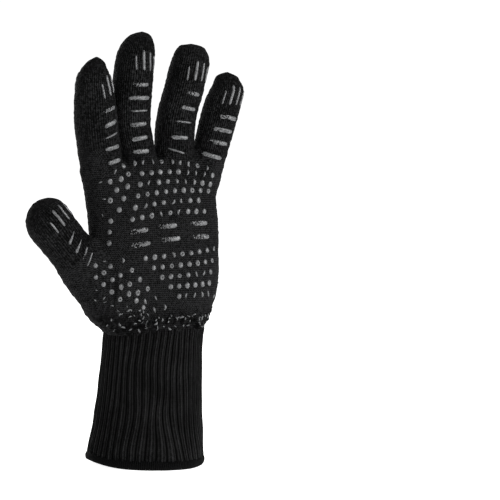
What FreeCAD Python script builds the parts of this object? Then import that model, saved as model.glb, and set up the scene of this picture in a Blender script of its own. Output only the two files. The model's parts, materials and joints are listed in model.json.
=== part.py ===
"""Heat resistant glove for outdoor cooking, left hand, standing on its cuff hem.

Millimetres. +Z runs from the cuff opening to the fingertips, the palm faces -Y and the thumb points to -X.
The origin is the middle of the cuff opening, at the bottom of the hem.
"""
import FreeCAD
import Part
import math
import os

Vector = FreeCAD.Vector

# ---- fabric layers -------------------------------------------------------------------------------------
SHELL_WALL = 2.0          # outer aramid knit
LINER_WALL = 1.6          # cotton liner
LAYER_GAP = 0.2           # air between the shell and the liner
PRINT_GAP = 0.03          # silicone print to shell
PRINT_HEIGHT = 0.9
DEPTH_RATIO = 0.86        # depth over width of every finger tube

# ---- cuff ----------------------------------------------------------------------------------------------
WRIST_Z = 98.0
HEM_HEIGHT = 7.0
HEM_ROUND = 2.2
HEM_PROUD = 0.8           # hem binding beyond the ribs
SEAM_GAP = 0.05
CUFF_BOTTOM = (46.0, 30.5)    # half width, half depth at Z = 0
CUFF_TOP = (39.4, 27.0)       # the same at the wrist
RIB_COUNT = 44
RIB_RELIEF = 1.1
POINTS_PER_RIB = 6

# ---- hand: height, centre X, half width, half depth, sideways tilt of the section in degrees -----------
HAND_SECTIONS = [
    (90.0, 0.0, 39.2, 27.0, 0.0),
    (100.0, -0.8, 40.2, 26.6, 0.0),
    (108.0, -4.6, 45.0, 25.0, 0.0),
    (119.0, -7.6, 51.6, 23.4, 0.0),
    (133.0, -6.0, 54.0, 22.2, 0.0),
    (150.0, -4.2, 53.4, 21.4, 0.0),
    (168.0, -4.4, 52.6, 20.8, 0.0),
    (186.0, -6.2, 53.2, 20.2, 0.0),
    (204.0, -9.2, 54.0, 19.0, 2.0),
    (218.0, -10.0, 56.0, 16.6, 5.0),
    (227.5, -10.0, 56.6, 12.6, 8.0),
    (233.5, -9.6, 54.0, 5.5, 9.5),
]

# ---- digits: centre line as (X, Z) at the root, the joints and the tip, with the half widths there;
#      Y of the centre line; turn of the silicone prints about the finger; heights of the cross bars -----
FINGERS = {
    "index": {
        "path": [(-52.5, 214.0), (-57.6, 240.5), (-61.2, 260.0), (-63.6, 279.0), (-64.2, 304.5)],
        "radii": [15.0, 15.6, 15.4, 14.4, 12.0],
        "y": -6.0,
        "twist": 35.0,
        "bars": [225.9, 235.7, 245.4, 254.5, 265.7],
    },
    "middle": {
        "path": [(-21.0, 214.0), (-25.9, 241.5), (-30.8, 272.5), (-30.6, 296.0), (-27.0, 324.8)],
        "radii": [14.4, 14.8, 15.2, 14.9, 13.4],
        "y": -1.5,
        "twist": 5.0,
        "bars": [235.8, 247.0, 257.0, 267.3, 277.8, 289.0],
    },
    "ring": {
        "path": [(6.0, 216.0), (6.8, 243.0), (9.6, 275.4), (12.9, 294.0), (16.0, 319.0)],
        "radii": [14.4, 14.8, 15.2, 15.0, 14.0],
        "y": -1.5,
        "twist": 8.0,
        "bars": [237.9, 248.3, 259.5, 270.2, 281.2],
    },
    "little": {
        "path": [(33.5, 218.0), (38.2, 240.8), (41.8, 260.2), (45.4, 279.0), (47.2, 300.5)],
        "radii": [13.4, 14.0, 14.2, 13.8, 11.8],
        "y": -1.0,
        "twist": 5.0,
        "bars": [235.6, 246.0, 255.4, 265.2],
    },
}
THUMB = {
    "path": [(-51.0, 136.5), (-72.9, 156.3), (-87.6, 169.6), (-110.6, 190.4)],
    "radii": [20.0, 17.6, 16.9, 17.0],
    "y": -5.0,
    "twist": 10.0,
    "bars": [151.0, 160.4, 166.2],
}

# ---- joints --------------------------------------------------------------------------------------------
HINGE_DEPTH = 0.6         # finger hinges below the palm-side surface, as a share of the half depth
HINGE_GAP = 0.4
WRIST_SWING = 16.0        # degrees each way
ROOT_BEND = 60.0
ROOT_BACK = 8.0
MIDDLE_BEND = 64.0
TIP_BEND = 40.0
THUMB_ROOT_BEND = 48.0
THUMB_TIP_BEND = 58.0
CLEARANCE_ANGLE = 1.5

# ---- silicone prints -----------------------------------------------------------------------------------
BAR_HEIGHT = 2.8
BAR_ARC = 72.0
STRIP_WIDTH = 1.8
STRIP_PITCH = 22.0        # degrees round the fingertip
STRIP_LENGTHS = (12.0, 15.5, 15.5, 12.0)
STRIP_TIP_DISTANCE = 9.0
DOT_RADIUS = 2.2
PALM_BAR_LENGTH = 14.5
PALM_BAR_WIDTH = 3.6
PALM_BARS = [(-27.1, 176.1), (-2.6, 182.0), (24.4, 184.1), (-24.0, 166.4), (0.6, 171.6), (26.8, 174.4)]
PALM_BAR_SLOPES = (12.0, 8.0, 3.0)

HAND_SEAM = 172.0         # height, just above the thumb crotch, where the hand's shell is divided in two
SEAM_BOX = (260.0, 90.0, 100.0)
LEAST_PRINT = 4.0         # a print that the side of the hand leaves with less volume than this is dropped
REACH = 14.0              # how far tubes run past a joint before they are trimmed
CUTTER = 34.0
TRIM_MARGIN = 0.6         # trimmers past the side of a finger stump
TRIM_SPARE = 6.0


def ellipse_wire(z, centre, half_width, half_depth, tilt):
    """Closed elliptical wire at a height, tilted sideways about the Y axis."""
    flat = Part.Ellipse(Vector(0, 0, 0), half_width, half_depth).toShape()
    wire = Part.Wire([flat])
    turn = FreeCAD.Rotation(Vector(0, 1, 0), -tilt)
    wire.Placement = FreeCAD.Placement(Vector(centre, 0, z), turn)
    return wire


def hand_solid(grow):
    """Palm and back of the hand as one solid, grown (or shrunk) by a distance."""
    wires = []
    last = HAND_SECTIONS[-1][0]
    for z, centre, half_width, half_depth, tilt in HAND_SECTIONS:
        shift = grow * 0.8 if z == last else 0.0
        wires.append(ellipse_wire(z + shift, centre, half_width + grow, half_depth + grow, tilt))
    return Part.makeLoft(wires, True, False)


def cuff_ellipse(z):
    """Half width and half depth of the cuff at a height."""
    share = z / WRIST_Z
    return [low + (high - low) * share for low, high in zip(CUFF_BOTTOM, CUFF_TOP)]


def cuff_solid(low, high, grow):
    """Plain tapered cuff between two heights."""
    wires = []
    for z in (low, high):
        half_width, half_depth = cuff_ellipse(z)
        wires.append(ellipse_wire(z, 0.0, half_width + grow, half_depth + grow, 0.0))
    return Part.makeLoft(wires, True, True)


def ribbed_wire(z):
    """Closed wavy outline of the ribbing at a height."""
    half_width, half_depth = cuff_ellipse(z)
    points = []
    for step in range(RIB_COUNT * POINTS_PER_RIB):
        angle = 2 * math.pi * step / (RIB_COUNT * POINTS_PER_RIB)
        wave = 0.5 * RIB_RELIEF * (math.cos(RIB_COUNT * angle) - 1)
        x = (half_width + wave) * math.cos(angle)
        y = (half_depth + wave) * math.sin(angle)
        points.append(Vector(x, y, z))
    curve = Part.BSplineCurve()
    curve.interpolate(points, True)
    return Part.Wire([curve.toShape()])


def lean(start, end):
    """Sideways lean of a centre line from +Z, in degrees."""
    return math.degrees(math.atan2(end[0] - start[0], end[1] - start[1]))


def place(shape, point, angle, y=0.0):
    """Move a shape built along +Z to a point of a centre line, leaning sideways."""
    turn = FreeCAD.Rotation(Vector(0, 1, 0), angle)
    moved = shape.copy()
    moved.Placement = FreeCAD.Placement(Vector(point[0], y, point[1]), turn).multiply(shape.Placement)
    return moved


def flatten(shape):
    """Squeeze a round shape to the depth of a finger."""
    matrix = FreeCAD.Matrix()
    matrix.scale(1.0, DEPTH_RATIO, 1.0)
    return shape.transformGeometry(matrix)


def revolve_edges(edges, degrees):
    """Turn a closed outline in the XZ plane about the Z axis."""
    face = Part.Face(Part.Wire(Part.__sortEdges__(edges)))
    return face.revolve(Vector(0, 0, 0), Vector(0, 0, 1), degrees)


def outline(points):
    """Straight edges through (radius, height) points, closed."""
    vectors = [Vector(radius, 0, height) for radius, height in points]
    vectors.append(vectors[0])
    return [Part.makeLine(a, b) for a, b in zip(vectors, vectors[1:])]


def open_tube(length, start_radius, end_radius, grow):
    """Finger length between two joints, running past both of them."""
    slope = (end_radius - start_radius) / length
    low = start_radius - slope * REACH + grow
    high = end_radius + slope * REACH + grow
    points = [(0, -REACH), (low, -REACH), (high, length + REACH), (0, length + REACH)]
    return flatten(revolve_edges(outline(points), 360))


def domed_tube(length, start_radius, end_radius, grow):
    """Fingertip: a tapered tube closed by a round dome."""
    slope = (end_radius - start_radius) / length
    low = start_radius - slope * REACH + grow
    high = end_radius + grow
    shoulder = length - end_radius
    half = math.sqrt(0.5) * high
    bottom = Part.makeLine(Vector(0, 0, -REACH), Vector(low, 0, -REACH))
    side = Part.makeLine(Vector(low, 0, -REACH), Vector(high, 0, shoulder))
    dome = Part.Arc(Vector(high, 0, shoulder), Vector(half, 0, shoulder + half), Vector(0, 0, shoulder + high))
    axis = Part.makeLine(Vector(0, 0, shoulder + high), Vector(0, 0, -REACH))
    return flatten(revolve_edges([bottom, side, dome.toShape(), axis], 360))


def trimmer(side, palm_angle, back_angle, half_width):
    """The space on one side of a hinge, with the clearance wedges the bend needs.

    side is +1 to trim the piece beyond the hinge and -1 to trim the piece before it.
    """
    palm_rise = HINGE_GAP + CUTTER * math.tan(math.radians(palm_angle))
    back_rise = HINGE_GAP + CUTTER * math.tan(math.radians(back_angle))
    rear = -REACH - TRIM_SPARE
    heights = [(-CUTTER, palm_rise), (0, HINGE_GAP), (CUTTER, back_rise), (CUTTER, rear), (-CUTTER, rear)]
    corners = [Vector(-half_width, y, side * z) for y, z in heights]
    corners.append(corners[0])
    face = Part.Face(Part.makePolygon(corners))
    return face.extrude(Vector(2 * half_width, 0, 0))


def half_angle(bend):
    """Slope of each face of a clearance wedge for a bend."""
    return 0.5 * bend + CLEARANCE_ANGLE


def layered(make_solid, trims):
    """Shell and liner of one piece: nested hollow layers, trimmed at the joints."""
    shell = make_solid(0.0).cut(make_solid(-SHELL_WALL))
    liner_outside = SHELL_WALL + LAYER_GAP
    liner = make_solid(-liner_outside).cut(make_solid(-liner_outside - LINER_WALL))
    for trim in trims:
        shell = shell.cut(trim)
        liner = liner.cut(trim)
    return shell, liner


def largest(shape):
    """The main solid of a trimmed shape, without the slivers left beyond a trimmer's sides."""
    return max(shape.Solids, key=lambda solid: solid.Volume)


class Digit:
    """One finger or the thumb: its centre line, joints and tubes."""

    def __init__(self, data, bends):
        self.path = data["path"]
        self.radii = data["radii"]
        self.twist = data["twist"]
        self.bars = data["bars"]
        self.y = data["y"]
        self.bends = bends
        self.leans = [lean(a, b) for a, b in zip(self.path, self.path[1:])]

    def hinge_y(self, joint):
        """Depth of a hinge: towards the palm from the centre line."""
        return self.y - HINGE_DEPTH * DEPTH_RATIO * self.radii[joint]

    def trim(self, joint, side):
        """Placed trimmer for a joint (1 is the root joint)."""
        palm_bend, back_bend = self.bends[joint - 1]
        angle = 0.5 * (self.leans[joint - 1] + self.leans[joint])
        own_stump = joint == 1 and side < 0
        half_width = self.radii[joint] + TRIM_MARGIN if own_stump else CUTTER
        tool = trimmer(side, half_angle(palm_bend), half_angle(back_bend), half_width)
        return place(tool, self.path[joint], angle, self.hinge_y(joint))

    def length(self, segment):
        """Distance between two points of the centre line."""
        (x0, z0), (x1, z1) = self.path[segment], self.path[segment + 1]
        return math.hypot(x1 - x0, z1 - z0)

    def tube(self, segment, grow):
        """Solid tube of a segment (0 runs from inside the hand to the root joint)."""
        sizes = (self.length(segment), self.radii[segment], self.radii[segment + 1], grow)
        last = segment == len(self.path) - 2
        shape = domed_tube(*sizes) if last else open_tube(*sizes)
        return place(shape, self.path[segment], self.leans[segment], self.y)

    def pieces(self, segment):
        """Shell and liner of a segment beyond the root joint."""
        trims = [self.trim(segment, 1)]
        if segment < len(self.path) - 2:
            trims.append(self.trim(segment + 1, -1))
        return layered(lambda grow: self.tube(segment, grow), trims)

    def band(self, segment, low, high, arc, turn):
        """A raised print on a straight part of a segment, symmetric about a direction round the finger."""
        length = self.length(segment)
        slope = (self.radii[segment + 1] - self.radii[segment]) / length
        if segment == len(self.path) - 2:
            slope = (self.radii[segment + 1] - self.radii[segment]) / (length - self.radii[segment + 1])
        inner = [(self.radii[segment] + slope * s + PRINT_GAP, s) for s in (low, high)]
        outer = [(radius + PRINT_HEIGHT, s) for radius, s in reversed(inner)]
        sector = revolve_edges(outline(inner + outer), arc)
        sector.rotate(Vector(0, 0, 0), Vector(0, 0, 1), -90 - 0.5 * arc + self.twist + turn)
        return place(flatten(sector), self.path[segment], self.leans[segment], self.y)

    def bars_on(self, segment):
        """Cross bars of one segment, on the palm side and on the back."""
        z0, z1 = self.path[segment][1], self.path[segment + 1][1]
        shapes = []
        for height in self.bars:
            if not z0 < height < z1:
                continue
            along = (height - z0) / math.cos(math.radians(self.leans[segment]))
            for turn in (0, 180):
                shapes.append(self.band(segment, along - BAR_HEIGHT / 2, along + BAR_HEIGHT / 2, BAR_ARC, turn))
        return shapes

    def strips(self):
        """Lengthwise strips round the fingertip pad and round its back."""
        segment = len(self.path) - 2
        top = self.length(segment) - self.radii[segment + 1] - 0.5
        arc = math.degrees(STRIP_WIDTH / self.radii[segment + 1])
        shapes = []
        for index, full in enumerate(STRIP_LENGTHS):
            offset = STRIP_PITCH * (index - 0.5 * (len(STRIP_LENGTHS) - 1))
            low = max(top + self.radii[segment + 1] - STRIP_TIP_DISTANCE - full, 5.5)
            for turn in (0, 180):
                shapes.append(self.band(segment, low, top, arc, offset + turn))
        return shapes


def row_of_dots(start, step, count):
    """Dot centres along a straight row."""
    return [(start[0] + step[0] * i, start[1] + step[1] * i) for i in range(count)]


def upper_dots():
    """Six slanted rows below the fingers, each turning upwards at the index side, and a short column."""
    dots = []
    for row in range(5):
        dots += row_of_dots((-31.8 + 1.7 * row, 184.7 + 8.8 * row), (7.6, 1.15 - 0.15 * row), 9)
    for row in range(4):
        dots += row_of_dots((-41.2 + 2.6 * row, 191.0 + 9.0 * row), (-5.3, 5.6), 2)
    dots += row_of_dots((-46.3, 165.8), (-0.9, 8.0), 3)
    return dots


def heel_dots():
    """Triangular field at the little finger side of the palm."""
    dots = []
    for row in range(5):
        dots += row_of_dots((-20.0 + 7.1 * row, 156.1 - 6.9 * row), (7.55 - 0.15 * row, 1.1), 9 - row)
    return dots


def mound_dots():
    """Diagonal lattice over the base of the thumb, with two rows above the wrist."""
    dots = []
    for row in range(5):
        start = (-36.8 - 6.2 * row, 153.3 - 5.4 * row)
        dots += [dot for dot in row_of_dots(start, (6.7, -6.4), 6) if dot[1] > 121.0]
    dots += row_of_dots((-36.0, 112.4), (7.6, 0.5), 10)
    dots += row_of_dots((-30.0, 106.6), (7.4, 0.1), 9)
    return dots


def dot_prism(x, z):
    """Round column through the hand at a dot."""
    return Part.makeCylinder(DOT_RADIUS, 2 * CUTTER, Vector(x, -CUTTER, z), Vector(0, 1, 0))


def bar_prism(x, z, slope):
    """Long column with rounded ends through the hand at a palm bar."""
    radius = PALM_BAR_WIDTH / 2
    half = PALM_BAR_LENGTH / 2 - radius
    ends = [dot_column(sign * half, radius) for sign in (-1, 1)]
    block = Part.makeBox(2 * half, 2 * CUTTER, 2 * radius, Vector(-half, -CUTTER, -radius))
    column = ends[0].fuse(block).fuse(ends[1]).removeSplitter()
    return place(column, (x, z), -slope)


def dot_column(x, radius):
    """Round column along Y at a distance from the origin."""
    return Part.makeCylinder(radius, 2 * CUTTER, Vector(x, -CUTTER, 0), Vector(0, 1, 0))


def printed(columns, outside, inside):
    """The part of every column that lies in the print layer, split into palm side and back."""
    layer = [column.common(outside).cut(inside) for column in columns]
    halves = {"palm": [], "back": []}
    for shape in layer:
        for solid in shape.Solids:
            if solid.Volume > LEAST_PRINT:
                halves["palm" if solid.CenterOfMass.y < 0 else "back"].append(solid)
    return halves


def wrist_trim(side):
    """Placed trimmer for the wrist."""
    angle = half_angle(WRIST_SWING)
    return place(trimmer(side, angle, angle, 2 * CUTTER), (0, WRIST_Z), 0)


def make_cuff(parts):
    """Ribbed knit, liner and hem binding; the wrist side is trimmed for the wrist swing."""
    trim = wrist_trim(-1)
    low = HEM_HEIGHT + SEAM_GAP
    high = WRIST_Z + 1
    ribs = Part.makeLoft([ribbed_wire(low), ribbed_wire(high)], True, True)
    wall = SHELL_WALL + RIB_RELIEF
    parts["cuff_rib"] = ribs.cut(cuff_solid(low - 1, high + 1, -wall)).cut(trim)
    outside = wall + LAYER_GAP
    liner = cuff_solid(low, high, -outside).cut(cuff_solid(low - 1, high + 1, -outside - LINER_WALL))
    parts["cuff_liner"] = liner.cut(trim)
    band = cuff_solid(0, HEM_HEIGHT, HEM_PROUD)
    rims = [edge for edge in band.Edges if edge.Closed and edge.BoundBox.ZLength < 0.1]
    band = band.makeFillet(HEM_ROUND, rims)
    parts["cuff_hem"] = band.cut(cuff_solid(-1, HEM_HEIGHT + 1, -outside - LINER_WALL))


def make_hand(parts, fingers, thumb):
    """Hand shell and liner with the stumps of all five digits, and the prints of both faces."""
    digits = list(fingers.values()) + [thumb]

    def solid(grow):
        return hand_solid(grow).fuse([digit.tube(0, grow) for digit in digits])

    trims = [digit.trim(1, -1) for digit in digits]
    trims.append(wrist_trim(1))
    shell, liner = layered(solid, trims)
    above_seam = Part.makeBox(*SEAM_BOX, Vector(-SEAM_BOX[0] / 2, -SEAM_BOX[1] / 2, HAND_SEAM))
    parts["hand_shell_lower"] = largest(shell.cut(above_seam))
    parts["hand_shell_upper"] = largest(shell.common(above_seam))
    parts["hand_liner"] = largest(liner)
    outside = hand_solid(PRINT_GAP + PRINT_HEIGHT).fuse(thumb.tube(0, PRINT_GAP + PRINT_HEIGHT))
    inside = solid(PRINT_GAP)
    fields = {
        "dots_upper": [dot_prism(x, z) for x, z in upper_dots()],
        "dots_heel": [dot_prism(x, z) for x, z in heel_dots()],
        "dots_thumb": [dot_prism(x, z) for x, z in mound_dots()],
        "bars": [bar_prism(x, z, PALM_BAR_SLOPES[i % 3]) for i, (x, z) in enumerate(PALM_BARS)],
    }
    for name, columns in fields.items():
        for face, solids in printed(columns, outside, inside).items():
            parts[face + "_" + name] = Part.makeCompound(solids)
    roots = []
    for digit in digits:
        roots += digit.bars_on(0)
    parts["finger_root_bars"] = Part.makeCompound(roots)


def make_digit(parts, name, digit):
    """All moving pieces of a finger or of the thumb."""
    segments = ["base", "tip"] if name == "thumb" else ["base", "middle", "tip"]
    for number, segment in enumerate(segments, start=1):
        shell, liner = digit.pieces(number)
        parts[name + "_shell_" + segment] = shell
        parts[name + "_liner_" + segment] = liner
        if segment == "tip":
            parts[name + "_tip_strips"] = Part.makeCompound(digit.strips())
        else:
            parts[name + "_bars_" + segment] = Part.makeCompound(digit.bars_on(number))


def main():
    """Build every piece and write one STEP file for each."""
    finger_bends = [(ROOT_BEND, ROOT_BACK), (MIDDLE_BEND, 0.0), (TIP_BEND, 0.0)]
    thumb_bends = [(THUMB_ROOT_BEND, ROOT_BACK), (THUMB_TIP_BEND, 0.0)]
    fingers = {name: Digit(data, finger_bends) for name, data in FINGERS.items()}
    thumb = Digit(THUMB, thumb_bends)
    parts = {}
    make_cuff(parts)
    make_hand(parts, fingers, thumb)
    for name, digit in fingers.items():
        make_digit(parts, name, digit)
    make_digit(parts, "thumb", thumb)
    os.makedirs("parts", exist_ok=True)
    for name, shape in parts.items():
        shape.exportStep(os.path.join("parts", name + ".step"))
        print(name, len(shape.Solids), round(shape.Volume, 1), shape.isValid())


main()
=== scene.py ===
"""Looks of the heat resistant glove: knitted shell, ribbed cuff, rolled hem, soft liner and silicone prints.

Shapes are worked out in millimetres and turned into metres when a mesh is made. +Z runs to the fingertips,
-Y out of the palm and -X to the thumb.
"""
import json
import math
import random
from collections import namedtuple

import bpy
import numpy as np
import openvdb
from mathutils import Matrix, Vector, noise
from mathutils.bvhtree import BVHTree


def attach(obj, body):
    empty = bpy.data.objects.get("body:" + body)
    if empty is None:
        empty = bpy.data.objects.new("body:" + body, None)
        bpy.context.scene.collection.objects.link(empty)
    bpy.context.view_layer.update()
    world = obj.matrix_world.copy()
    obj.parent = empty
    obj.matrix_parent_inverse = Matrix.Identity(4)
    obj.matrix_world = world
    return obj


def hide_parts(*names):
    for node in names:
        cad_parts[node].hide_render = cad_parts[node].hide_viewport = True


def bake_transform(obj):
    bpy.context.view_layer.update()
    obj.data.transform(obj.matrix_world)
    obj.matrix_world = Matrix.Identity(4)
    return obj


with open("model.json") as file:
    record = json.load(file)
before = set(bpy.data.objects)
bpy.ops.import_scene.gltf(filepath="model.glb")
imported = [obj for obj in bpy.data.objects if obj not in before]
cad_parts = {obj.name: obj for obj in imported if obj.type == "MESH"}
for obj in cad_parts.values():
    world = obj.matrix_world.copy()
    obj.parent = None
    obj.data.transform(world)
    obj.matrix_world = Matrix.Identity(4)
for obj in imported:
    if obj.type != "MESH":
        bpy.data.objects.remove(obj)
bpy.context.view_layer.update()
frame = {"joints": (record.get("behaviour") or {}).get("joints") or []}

MM = 0.001
random.seed(11)

# ---- resolution ----
GRID = 0.8           # voxel size of the hand surface
GRID_LOW = (-122.0, -40.0, 94.0)
GRID_HIGH = (66.0, 36.0, 331.0)

# ---- palm and back of the hand ----
# Height, centre X, half width, depth on the palm side and depth on the back of each row.
HAND_PROFILE = [
    (95.0, -0.2, 34.4, 22.4, 22.4),
    (101.0, -0.4, 36.2, 24.2, 24.4),
    (103.6, -0.8, 37.6, 25.6, 26.0),
    (105.2, -1.4, 38.5, 26.3, 26.9),
    (107.8, -2.3, 40.0, 26.4, 27.2),
    (112.4, -4.3, 44.0, 25.0, 26.4),
    (121.0, -7.0, 49.7, 22.8, 24.6),
    (133.0, -5.6, 52.6, 21.4, 23.2),
    (150.0, -4.0, 52.9, 20.2, 22.0),
    (168.0, -3.6, 51.8, 19.4, 21.2),
    (186.0, -5.6, 52.2, 18.8, 20.2),
    (204.0, -8.9, 52.7, 18.4, 18.6),
    (218.0, -9.6, 54.7, 16.4, 16.2),
    (229.0, -9.4, 54.6, 13.4, 13.4),
    (240.0, -9.4, 53.0, 11.0, 11.0),
]
WRIST_TILT = 0.095                          # rise of the wrist line for each mm towards the little finger
WRIST_EDGE = 102.2                          # level of the fabric's lower edge, tucked behind the ribbing
HAND_SQUARENESS = 2.25                      # power of the palm's rounded section
PALM_HALVES = (53.0, 20.0)                  # its usual half width and half depth
WEB_SLOPE = math.tan(math.radians(9.5))     # rise of the web towards the little finger
WEB_HEIGHT = 231.0                          # height of the web between the fingers at the hand's middle
WEB_CORNER = 6.0                            # rounding between the hand's sides and the web
# Widths over which neighbouring volumes run into each other.
FINGER_BLEND = 1.6
WEB_BLEND = 5.0
THUMB_BLEND = 5.0
THUMB_PAD_BLEND = 8.0
HEEL_PAD_BLEND = 10.0
# Soft pads of the palm: centre and half sizes.
THUMB_PAD = ((-34.0, -8.0, 133.0), (22.0, 17.0, 31.0))
HEEL_PAD = ((20.5, -7.0, 134.0), (21.5, 15.4, 30.0))
DEPTH_RATIO = 0.86                          # depth of a digit for its width
HAND_CORE = -12.0                           # the distance fields stay flat deeper inside than this
DIGIT_CORE = -9.0
DIGIT_REACH = 3.0                           # fabric this close to a digit's surface belongs to the digit

# ---- digits: (sideways position, Y, distance along, half width) from the root to the tip ----
INDEX = [
    (-46.8, 0.0, 206.0, 11.5), (-49.2, -1.5, 218.0, 14.8), (-51.8, -3.0, 229.2, 16.3),
    (-55.4, -5.5, 241.3, 16.6), (-59.1, -8.0, 258.9, 16.4), (-61.2, -9.0, 273.9, 15.5),
    (-62.3, -9.5, 282.1, 14.1), (-62.9, -10.0, 288.8, 12.2), (-62.8, -10.0, 294.9, 9.5),
    (-62.1, -10.0, 299.8, 6.2), (-61.8, -10.0, 302.2, 3.0), (-61.8, -10.0, 303.4, 0.0),
]
MIDDLE = [
    (-18.0, 0.0, 206.0, 11.0), (-19.8, 0.0, 220.0, 14.0), (-21.6, 0.0, 231.5, 14.8),
    (-25.4, 0.0, 245.6, 15.1), (-28.3, -0.5, 257.5, 15.2), (-29.4, -1.5, 274.8, 15.4),
    (-29.3, -2.5, 290.7, 15.3), (-28.8, -3.5, 304.3, 14.7), (-28.1, -4.0, 311.1, 13.6),
    (-27.4, -4.2, 315.7, 12.0), (-26.5, -4.4, 320.2, 9.3), (-25.4, -4.4, 323.2, 5.6),
    (-25.1, -4.4, 325.0, 0.0),
]
RING = [
    (6.4, 0.0, 206.0, 11.0), (7.5, 0.0, 222.0, 14.4), (7.9, 0.0, 237.7, 15.4),
    (7.7, 0.0, 255.0, 15.5), (8.9, -0.5, 267.2, 15.3), (11.9, -1.5, 281.7, 15.4),
    (14.8, -3.0, 299.9, 15.2), (15.6, -3.5, 306.0, 14.7), (15.9, -3.8, 310.8, 13.2),
    (15.6, -4.0, 314.6, 11.1), (15.4, -4.0, 317.2, 7.9), (15.4, -4.0, 318.6, 0.0),
]
LITTLE = [
    (31.4, 0.0, 206.0, 10.0), (33.6, 0.0, 220.0, 13.0), (36.3, 0.0, 232.6, 13.7),
    (39.4, 0.0, 247.0, 14.2), (42.4, -0.5, 262.3, 14.5), (45.4, -1.0, 276.8, 14.4),
    (47.2, -1.6, 283.7, 13.7), (47.9, -2.0, 288.2, 12.4), (47.4, -2.3, 292.8, 10.6),
    (46.9, -2.5, 297.0, 7.5), (46.7, -2.5, 299.7, 0.0),
]
# The thumb's distances run along its own axis, from THUMB_START towards its tip.
THUMB_START = (-65.5, 149.6)
THUMB_AXIS = (-0.742, 0.670)
THUMB = [
    (5.6, -1.0, -44.0, 13.0), (3.6, -3.0, -32.0, 19.0), (2.4, -4.0, -18.0, 20.6), (3.0, -4.5, 0.0, 18.8),
    (4.2, -5.0, 13.8, 17.3), (5.1, -5.5, 26.6, 17.2), (6.0, -6.0, 36.0, 17.9), (6.5, -6.4, 42.5, 17.4),
    (6.8, -6.8, 47.4, 15.7), (7.0, -7.0, 51.4, 12.8), (7.1, -7.0, 54.4, 9.0), (7.1, -7.0, 56.4, 4.6),
    (7.1, -7.0, 57.2, 0.0),
]
UPRIGHT = ((0.0, 0.0), (0.0, 1.0))
DIGITS = {
    "index": (INDEX, UPRIGHT),
    "middle": (MIDDLE, UPRIGHT),
    "ring": (RING, UPRIGHT),
    "little": (LITTLE, UPRIGHT),
    "thumb": (THUMB, (THUMB_START, THUMB_AXIS)),
}

# ---- pieces: where the fabric of a digit is divided, as distances past its joints ----
ROOT_ZONE = (-2.6, -1.8, 9.0)               # cut, start and end of the bend, past the root joint
MIDDLE_ZONE = (-7.0, -6.0, 6.5)
TIP_ZONE = (-7.0, -6.0, 6.0)
THUMB_ROOT_ZONE = (-1.0, 0.0, 8.5)

# ---- knit ----
WALES_ROUND_DIGIT = 54
WALES_ROUND_HAND = 150
COURSE_PITCH = 1.45
FINGER_KNIT_START = 236.0                   # height above which the wales follow each finger
THUMB_KNIT_START = 6.0                      # distance along the thumb from which they follow it
LINER_DEPTH = 2.6                           # from the outer surface to the lining's surface

# ---- cuff ----
RIBS = 44
RIB_STEPS = 12                              # mesh columns for each rib
RIB_RELIEF = 1.8
RIB_DRIFT = 0.05                            # wander of the ribs round the cuff, in radians
RIB_LEAN = 0.2                              # how far the ribs run sideways at the hem, in radians
HEM_LIFT = 1.3                              # lift of the hem at its two sides
HEM_HEIGHT = 7.5
HEM_THICKNESS = 2.9
HEM_INSET = -2.3                            # middle of the roll, from the outside of the ribbing

# ---- silicone ----
DOT_RADIUS = 1.86
DOT_STRETCH = 1.13                          # height of a dot for its width
DOT_HEIGHT = 0.65
DOT_SIDES = 14                              # mesh points round a dot
# Sections of a dot: share of its radius and of its height, from the middle to the edge sunk in the knit.
FULL_DOT = ((0.0, 1.0), (0.5, 0.93), (0.82, 0.62), (0.97, 0.2), (1.03, -0.25))
HOLLOW_DOT = ((0.0, -0.5), (0.17, -0.4), (0.3, 0.8), (0.6, 1.0), (0.85, 0.6), (0.97, 0.2), (1.03, -0.25))
HOLLOW_SHARE = 0.24                         # how many dots have a pinhole
FRAGMENT_RADIUS = (0.85, 1.5)
FRAGMENT_CHANCE = 0.74
BAR_HEIGHT = 0.6
BAR_WIDTH = 3.3
THIN_BAR_WIDTH = 1.5
THUMB_BAR_WIDTH = 1.75
LONG_BAR = 1.4                              # share of the usual length
# In these tables a digit that is left out has 0 or none.
# How far the first bars of a digit sit towards the index side; this fades out by the fourth bar.
ROOT_SHIFT = {"index": 1.0, "middle": 2.4, "ring": 6.3, "little": 4.4}
# Slopes in degrees of the bars that lie on the hand itself, at the root of each digit.
ROOT_BAR_SLOPE = {"middle": 3.0, "ring": -13.0, "little": -11.0, "thumb": 47.0}
BAR_TILT = 0.6                              # how much a bar follows the lean of its finger
STRIP_WIDTHS = (1.6, 2.5, 1.8, 1.5)
STRIP_LENGTHS = (11.0, 15.5, 14.5, 12.0)
STRIP_PITCH = 23.5                          # degrees round the digit from strip to strip
# Heights of each digit's bars (for the thumb, distances along it), and which of them look thin, long or worn.
BARS = {
    "index": [227.5, 237.5, 246.6, 255.2, 265.5],
    "middle": [236.1, 245.7, 255.9, 265.9, 275.4, 285.2],
    "ring": [237.9, 248.0, 259.8, 270.0, 281.2],
    "little": [235.6, 246.0, 255.4, 265.2],
    "thumb": [1.2, 6.6, 14.0, 22.4],
}
THIN_BARS = {"index": [2], "middle": [3], "ring": [0, 2], "thumb": [0]}
LONG_BARS = {"middle": [4]}
WORN_BARS = {"index": [4], "middle": [5], "ring": [4], "little": [1, 3], "thumb": [1]}
# Degrees of each digit that its bars cover, how far one end lies higher, and how they narrow to one end.
BAR_ARC = {"index": 44.0, "middle": 53.0, "ring": 51.0, "little": 74.0, "thumb": 36.0}
BAR_SKEW = {"index": 1.9, "middle": 0.4, "thumb": 2.2}
BAR_TAPER = {"thumb": 0.8}
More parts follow.
